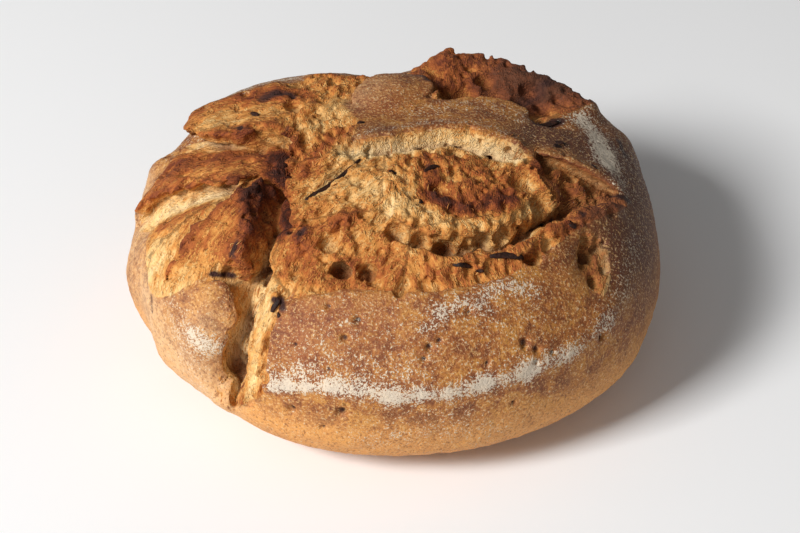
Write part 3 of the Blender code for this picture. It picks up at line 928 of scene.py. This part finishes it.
def rims(ground, lips, u, v, height):
    """How much darker the lips' outer edges were baked."""
    result = np.zeros(len(u))
    surface = ground.at(u, v)
    for lip, distance, _, raised, dropped, both in lips_at(lips, u, v):
        top = smoothstep((height - (surface - both + raised) + 4.0) / 3.0)
        near = np.exp(-(((distance + 0.6 * lip.lean) / 2.4) ** 2))
        result = np.maximum(result, lip.burn * top * near * smoothstep((raised - dropped) / 8.0))
    return result


def baked_loaf():
    """The loaf's surface, with what its colours need kept at each point."""
    lift, ground, crumb, lips = skin_maps()
    axes = volume_axes()
    field = loaf_volume(axes, lift, lips)
    carve(axes, field, ground, HOLLOWS + random_hollows(crumb))
    points, quads = largest_part(*surface_net(axes, field))
    points = evened(points, quads)
    made = mesh_object("baked_loaf", points, quads)
    u, v, height = skin_place(*points.T)
    outward = vectors_of(made.data.vertex_normals, "vector")
    rough = roughened(points, bared(crumb, ground, lips, u, v, height))
    on_table = points[:, 2] < -BELLY_HEIGHT + 1.0
    points = points + outward * np.where(on_table, 0.0, rough)[:, None]
    made.data.vertices.foreach_set("co", (points * MM).astype(np.float32).ravel())
    keep_value(made.data, "rough", rough)
    thinned(made, TRIANGLE_LIMIT)
    mesh = made.data
    points = vectors_of(mesh.vertices, "co") / MM
    full = (field < 0).astype(np.float32)
    near_full, wide_full = averaged(full, NEAR_AIR), averaged(full, WIDE_AIR)
    u, v, height = skin_place(*points.T)
    keep_value(mesh, "crumb", bared(crumb, ground, lips, u, v, height))
    keep_value(mesh, "exposed", 2.0 * (0.5 - read_volume(axes, near_full, points)))
    keep_value(mesh, "open", 2.0 * (0.5 - read_volume(axes, wide_full, points)))
    for name, tints in TINTS.items():
        keep_value(mesh, name, tinted(tints, u, v))
    keep_value(mesh, "rim", rims(ground, lips, u, v, height))
    keep_value(mesh, "low", smoothstep((8.0 - points[:, 2]) / 20.0))
    grain = mesh.attributes.new("grain", "FLOAT_VECTOR", "POINT")
    grain.data.foreach_set("vector", grain_place(u, v, height)[0].astype(np.float32).ravel())
    return made


def seat(made):
    """Stands the surface where the solid does, by their boxes; gives the loaf's middle there."""
    points = vectors_of(made.data.vertices, "co")
    points[:, 2] = np.maximum(points[:, 2], -BELLY_HEIGHT * MM)
    low, high = (np.array(corner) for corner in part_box("loaf"))
    own_low, own_high = points.min(axis=0), points.max(axis=0)
    scale = (high - low) / (own_high - own_low)
    points = (points - own_low) * scale + low
    made.data.vertices.foreach_set("co", points.astype(np.float32).ravel())
    made.data.update()
    return Vector(low - own_low * scale)


def surface_reader(made, middle):
    """Gives the surface's point and outward direction at skin coordinates, in metres."""
    tree = BVHTree.FromObject(made, bpy.context.evaluated_depsgraph_get())

    def read(u, v):
        outer, inner = (Vector(skin_point(np.float64(u), np.float64(v), height)) * MM + middle
                        for height in RAY_HEIGHTS)
        hit, _, _, _ = tree.ray_cast(outer, (inner - outer).normalized())
        return hit, (outer - inner).normalized()

    return read


def strip(route, outward, widths, thick, sides):
    """Points and faces of a flattened tube along a route, closed at both ends."""
    points, faces = [], []
    for n, place in enumerate(route):
        ahead = route[min(n + 1, len(route) - 1)] - route[max(n - 1, 0)]
        across = ahead.cross(outward).normalized()
        for k in range(sides):
            turn = math.tau * k / sides
            spoke = math.cos(turn) * across + thick * math.sin(turn) * outward
            points.append(place + widths[n] * spoke)
    for n in range(len(route) - 1):
        for k in range(sides):
            a, b = n * sides + k, n * sides + (k + 1) % sides
            faces.append((a, b, b + sides, a + sides))
    faces.append(tuple(range(sides))[::-1])
    faces.append(tuple(range(len(points) - sides, len(points))))
    return points, faces


def gathered(name, strips):
    """One object of many strips."""
    points, faces = [], []
    for own_points, own_faces in strips:
        start = len(points)
        points += own_points
        faces += [tuple(start + k for k in face) for face in own_faces]
    return mesh_object(name, np.array(points) / MM, faces)


def onion_bits(read):
    """Strips of onion roasted dark, lying in the crumb where the photo shows them."""
    strips = []
    for bit in BITS:
        route = []
        for n in range(BIT_POINTS):
            share = n / (BIT_POINTS - 1)
            u = bit.start[0] + share * (bit.end[0] - bit.start[0])
            v = bit.start[1] + share * (bit.end[1] - bit.start[1])
            v += bit.bow * math.sin(math.pi * share)
            hit, outward = read(u, v)
            ripple = 0.8 * noise.noise(Vector((u, v, 9.0)) / 2.5)
            route.append(hit + outward * (bit.lift + ripple) * MM)
        for _ in range(2):
            inner = [(a + 2 * b + c) / 4 for a, b, c in zip(route, route[1:], route[2:])]
            route = [route[0], *inner, route[-1]]
        swell = [math.sin(math.pi * (n + 0.6) / (BIT_POINTS + 0.2)) for n in range(BIT_POINTS)]
        widths = [bit.width * MM * (0.25 + 0.75 * rise**0.7) for rise in swell]
        strips.append(strip(route, outward, widths, 0.42, 8))
    return gathered("onion_bits", strips)


def crumb_threads(read):
    """Fine threads of crumb torn between the walls of open bubbles."""
    draw = random.Random(SEED)
    tear = smooth_path(RIDGES["left_tear"].path)
    strips = []
    while len(strips) < THREADS:
        kind = draw.random()
        if kind < TEAR_THREADS:
            u, v = draw.choice(tear) + [draw.gauss(0, 4), draw.gauss(0, 4)]
        elif kind < TEAR_THREADS + FAN_THREADS:
            u, v = draw.uniform(64, 94), draw.uniform(-40, -16)
        else:
            u, v = draw.uniform(-40, 100), draw.uniform(-90, 10)
        spot = np.array([u]), np.array([v])
        if inside(OPEN_CRUMB, *spot)[0] < 0.6 and u > -46:
            continue
        angle = grain_angle(u, v) + draw.gauss(0, 0.35)
        length = draw.uniform(2.0, 4.5)
        start, outward = read(u, v)
        end, _ = read(u + length * math.cos(angle), v + length * math.sin(angle))
        if start is None or end is None or (end - start).length > 1.8 * length * MM:
            continue
        bow = draw.uniform(0.1, 0.5) * MM
        sway = draw.gauss(0, 0.3) * MM
        side = (end - start).cross(outward).normalized()
        shares = [n / (THREAD_POINTS - 1) for n in range(THREAD_POINTS)]
        route = [start.lerp(end, share) + math.sin(math.pi * share) * (outward * bow + side * sway)
                 for share in shares]
        thick = draw.uniform(0.09, 0.2) * MM
        widths = [thick * (1.4 - 1.5 * abs(share - 0.5)) for share in shares]
        strips.append(strip(route, outward, widths, 0.8, 5))
    return gathered("crumb_threads", strips)


class Paint:
    """A material and its nodes."""

    def __init__(self, name):
        self.material = bpy.data.materials.new(name)
        self.material.use_nodes = True
        self.tree = self.material.node_tree
        self.shader = self.tree.nodes["Principled BSDF"]

    def node(self, kind, settings=None, values=None, out=0):
        """A new node: its settings or a ramp's stops first, then its sockets' values or links."""
        made = self.tree.nodes.new(kind)
        for name, value in (settings or {}).items():
            if name == "stops":
                place_stops(made.color_ramp, value)
            else:
                setattr(made, name, value)
        for name, value in (values or {}).items():
            self.feed(made.inputs[name], value)
        return Shade(self, made.outputs[out])

    def feed(self, socket, value):
        if isinstance(value, Shade):
            self.tree.links.new(value.socket, socket)
        else:
            socket.default_value = value

    def kept(self, name):
        """A number kept at the mesh's points."""
        return self.node("ShaderNodeAttribute", {"attribute_name": name}, out="Fac")

    def noise(self, place, scale, detail=2.0, roughness=0.55):
        """Soft noise from 0 to 1."""
        values = {"Vector": place, "Scale": scale, "Detail": detail, "Roughness": roughness}
        return self.node("ShaderNodeTexNoise", None, values)

    def blend(self, share, first, second):
        """A colour between two colours."""
        return self.node("ShaderNodeMix", {"data_type": "RGBA", "clamp_factor": True},
                         {0: share, 6: first, 7: second}, out=2)

    def layered(self, colour, layers):
        """A colour with others laid over it: each layer is its share and its 0 to 255 values."""
        for share, *values in layers:
            colour = self.blend(share, colour, tone(*values))
        return colour

    def step(self, value, low, high):
        """0 below low, 1 above high, smooth between."""
        return self.node("ShaderNodeMapRange", {"interpolation_type": "SMOOTHSTEP"},
                         {"Value": value, "From Min": low, "From Max": high})

    def ramp(self, value, stops):
        """A colour that runs through stops."""
        return self.node("ShaderNodeValToRGB", {"stops": stops}, {"Fac": value})

    def finish(self, values):
        """Feeds the shader's own sockets, and gives the material."""
        for name, value in values.items():
            self.feed(self.shader.inputs[name], value)
        return self.material


class Shade:
    """A value that varies over a surface; sums on it add Math nodes."""

    def __init__(self, paint, socket):
        self.paint = paint
        self.socket = socket

    def math(self, operation, *values):
        return self.paint.node("ShaderNodeMath", {"operation": operation}, dict(enumerate(values)))

    def __add__(self, other):
        return self.math("ADD", self, other)

    def __sub__(self, other):
        return self.math("SUBTRACT", self, other)

    def __rsub__(self, other):
        return self.math("SUBTRACT", other, self)

    def __mul__(self, other):
        return self.math("MULTIPLY", self, other)

    __radd__ = __add__
    __rmul__ = __mul__


def tone(red, green, blue):
    """A colour from its 0 to 255 values as seen, in linear light."""
    parts = [c / 255 for c in (red, green, blue)]
    return (*(c / 12.92 if c < 0.04045 else ((c + 0.055) / 1.055) ** 2.4 for c in parts), 1.0)


def place_stops(ramp, stops):
    """Sets a ramp's stops: each is its position and its colour's 0 to 255 values."""
    while len(ramp.elements) < len(stops):
        ramp.elements.new(0.5)
    for element, (position, *values) in zip(ramp.elements, stops):
        element.position = position
        element.color = tone(*values)


def bread_paint():
    """Crust, crumb, toasting, flour, painted shade and highlights, from what each point keeps."""
    paint = Paint("baked_bread")
    place = paint.node("ShaderNodeTexCoord", out="Object")
    grain = paint.node("ShaderNodeAttribute", {"attribute_name": "grain"}, out="Vector")
    fibre_place, pore_place, comb_place = (
        paint.node("ShaderNodeMapping", None, {"Vector": grain, "Scale": (along, 1.0, 1.0)})
        for along in (0.4, 0.6, 0.12))
    crumb, exposed, open_air = paint.kept("crumb"), paint.kept("exposed"), paint.kept("open")
    bake, char, flour, dusk = (paint.kept(n) for n in ("bake", "char", "flour", "dusk"))
    rough, low, blond = paint.kept("rough"), paint.kept("low"), paint.kept("blond")
    rim, ruddy = paint.kept("rim"), paint.kept("ruddy")

    broad = paint.noise(place, 90.0, 2.0)
    patch = paint.noise(place, 260.0, 3.0)
    speck = paint.noise(place, 900.0, 2.0)
    grit = paint.noise(place, 1900.0, 1.0)
    comb = paint.noise(comb_place, 0.7, 3.0, 0.6)
    mottle = paint.noise(place, 480.0, 2.0)
    fibre = paint.noise(fibre_place, 0.55, 3.0, 0.6)
    thread = paint.noise(fibre_place, 0.8, 1.0, 0.5)
    pore = paint.noise(pore_place, 0.85, 2.0, 0.5)

    # torn crumb: pale in shallow hollows, gold on the flat, toasted where it stands out; painted
    # shade and highlights
    walls = 1.0 - 9.0 * thread.math("ABSOLUTE", thread - 0.5)
    # painted highlight: thin strands are coloured paler, and they raise the bump too
    highlit_strands = paint.step(walls, 0.0, 1.0) * paint.step(patch, 0.4, 0.6)
    # painted shade: the pores are coloured darker, and they sink the bump too
    shaded_pits = paint.step(pore, 0.39, 0.29)
    # toasting, with painted light mixed in: raised grain and strands paler, pores and the shaded
    # tints darker
    toast_and_painted_light = (0.47 + 0.05 * exposed + 0.36 * open_air + 0.5 * bake + rim - 0.1 * rough
             - 0.2 * highlit_strands + 0.4 * (broad - 0.5) + 0.4 * (patch - 0.5) + 0.2 * (fibre - 0.5)
             + 0.5 * (comb - 0.5) + 0.06 * shaded_pits)
    # painted shade: crumb that lies deep among its neighbours turns a darker red brown
    recess_shade = paint.step(0.0 - open_air, 0.14, 0.62)
    crumb_colour = paint.layered(
        paint.ramp(toast_and_painted_light, [(0.0, 240, 208, 154), (0.25, 226, 180, 114), (0.43, 204, 138, 66),
                           (0.6, 168, 92, 38), (0.8, 116, 52, 22), (1.0, 66, 30, 18)]),
        [(shaded_pits * 0.4, 112, 54, 22), (dusk * 0.75, 124, 78, 50), (recess_shade * 0.85, 118, 58, 24)])

    # crust: pinkish brown with pale blisters and darker freckles
    crust_tone = 0.5 + 1.5 * (broad - 0.5) + 0.9 * (patch - 0.5) + 0.9 * (mottle - 0.5)
    crust_colour = paint.layered(
        paint.ramp(crust_tone, [(0.2, 122, 66, 30), (0.42, 152, 90, 42), (0.6, 174, 112, 50),
                                (0.8, 192, 132, 60)]),
        [((ruddy + 1.2 * (broad - 0.5)) * 0.7, 136, 70, 40),
         (low * 0.62, 232, 164, 90),
         (blond * (0.55 + 0.45 * paint.step(patch, 0.4, 0.58)), 222, 178, 130),
         # duller crust, and painted shade on the loaf's right side
         (dusk, 92, 52, 34),
         (paint.step(speck, 0.54, 0.66) * 0.6, 222, 174, 112),
         (paint.step(speck, 0.45, 0.33) * 0.55, 100, 50, 30),
         (paint.step(grit, 0.6, 0.7) * 0.4, 230, 190, 134)])

    torn = paint.step(crumb + 0.8 * (patch - 0.5), 0.34, 0.66)
    burnt = paint.step(char + 0.5 * (patch - 0.5), 0.25, 0.75)
    dust = flour * (1.0 - crumb) + 2.2 * (speck - 0.5) + 1.0 * (patch - 0.5) + 2.2 * (grit - 0.5)
    floured = paint.step(dust, 0.5, 0.85) * (1.0 - crumb)
    colour = paint.layered(paint.blend(torn, crust_colour, crumb_colour),
                           [(burnt, 62, 34, 28), (floured * 0.8, 216, 204, 184)])

    relief = (0.5 * highlit_strands + 0.9 * fibre + 0.5 * comb + 0.15 * speck - 0.4 * shaded_pits) * crumb
    relief = relief + (0.4 * speck + 0.16 * grit) * (1.0 - crumb) + 0.1 * floured
    bump = paint.node("ShaderNodeBump", None,
                      {"Height": relief, "Distance": 0.0016, "Strength": 0.75})
    return paint.finish({"Base Color": colour, "Normal": bump, "Specular IOR Level": 0.35,
                         "Roughness": 0.62 + 0.2 * crumb + 0.25 * floured})


def thread_paint():
    """Golden crumb thread."""
    paint = Paint("crumb_thread")
    place = paint.node("ShaderNodeTexCoord", out="Object")
    shade = paint.noise(place, 130.0, 3.0)
    colour = paint.ramp(shade, [(0.35, 222, 168, 96), (0.5, 186, 116, 54), (0.65, 130, 66, 28)])
    return paint.finish({"Base Color": colour, "Roughness": 0.8})


def onion_paint():
    """Dark roasted onion, a little glossy."""
    paint = Paint("roasted_onion")
    place = paint.node("ShaderNodeTexCoord", out="Object")
    streak = paint.noise(place, 700.0, 3.0)
    colour = paint.ramp(streak, [(0.3, 18, 9, 6), (0.7, 62, 32, 20)])
    bump = paint.node("ShaderNodeBump", None, {"Height": streak, "Distance": 0.0006})
    return paint.finish({"Base Color": colour, "Normal": bump, "Roughness": 0.6,
                         "Specular IOR Level": 0.25})


def dressed(made, material):
    """Gives a piece its material, and lets it ride with the loaf."""
    made.data.materials.clear()
    made.data.materials.append(material)
    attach(made, "root")


def studio():
    """A pale floor, and soft light from the left front."""
    scene = bpy.context.scene
    scene.view_settings.view_transform = "Standard"
    bpy.ops.mesh.primitive_plane_add(size=6.0, location=(0, 0, -0.0003))
    floor = bpy.context.object
    floor.name = "floor"
    pale = Paint("pale_floor").finish({"Base Color": (0.93, 0.93, 0.93, 1), "Roughness": 0.9})
    floor.data.materials.append(pale)
    world = bpy.data.worlds.new("soft_room")
    scene.world = world
    world.use_nodes = True
    background = world.node_tree.nodes["Background"]
    background.inputs["Color"].default_value = (1, 1, 1, 1)
    background.inputs["Strength"].default_value = 0.18
    for name, place, size, energy in (
        ("window", (-1.85, -1.3, 1.75), 0.85, 96.0),
        ("front_fill", (-0.3, -1.6, 0.35), 0.9, 3.0),
    ):
        light = bpy.data.lights.new(name, "AREA")
        light.size = size
        light.energy = energy
        lamp = bpy.data.objects.new(name, light)
        lamp.location = place
        aim = Vector((0, 0, 0.04)) - Vector(place)
        lamp.rotation_euler = aim.to_track_quat("-Z", "Y").to_euler()
        scene.collection.objects.link(lamp)


def photo_view(middle):
    """The photograph's view: 900 mm away and 37 degrees above the table."""
    elevation = math.radians(37.0)
    distance = 0.9
    pixels_wide, pixels_high = 800, 533
    millimetres_per_pixel = 0.447
    centre_pixel = (396.4, 239.0)
    camera = bpy.data.cameras.new("photo_view")
    camera.sensor_width = 36.0
    camera.lens = distance / MM / millimetres_per_pixel * camera.sensor_width / pixels_wide
    camera.shift_x = (pixels_wide / 2 - centre_pixel[0]) / pixels_wide
    camera.shift_y = (centre_pixel[1] - pixels_high / 2) / pixels_wide
    back = Vector((0, -math.cos(elevation), math.sin(elevation)))
    view = bpy.data.objects.new("photo_view", camera)
    view.location = Vector((middle.x, middle.y, 0.045)) + back * distance
    view.rotation_euler = (-back).to_track_quat("-Z", "Y").to_euler()
    bpy.context.scene.collection.objects.link(view)
    bpy.context.scene.camera = view


loaf = baked_loaf()
middle = seat(loaf)
dressed(loaf, bread_paint())
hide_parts("loaf")
at_skin = surface_reader(loaf, middle)
dressed(onion_bits(at_skin), onion_paint())
dressed(crumb_threads(at_skin), thread_paint())
photo_view(middle)
studio()
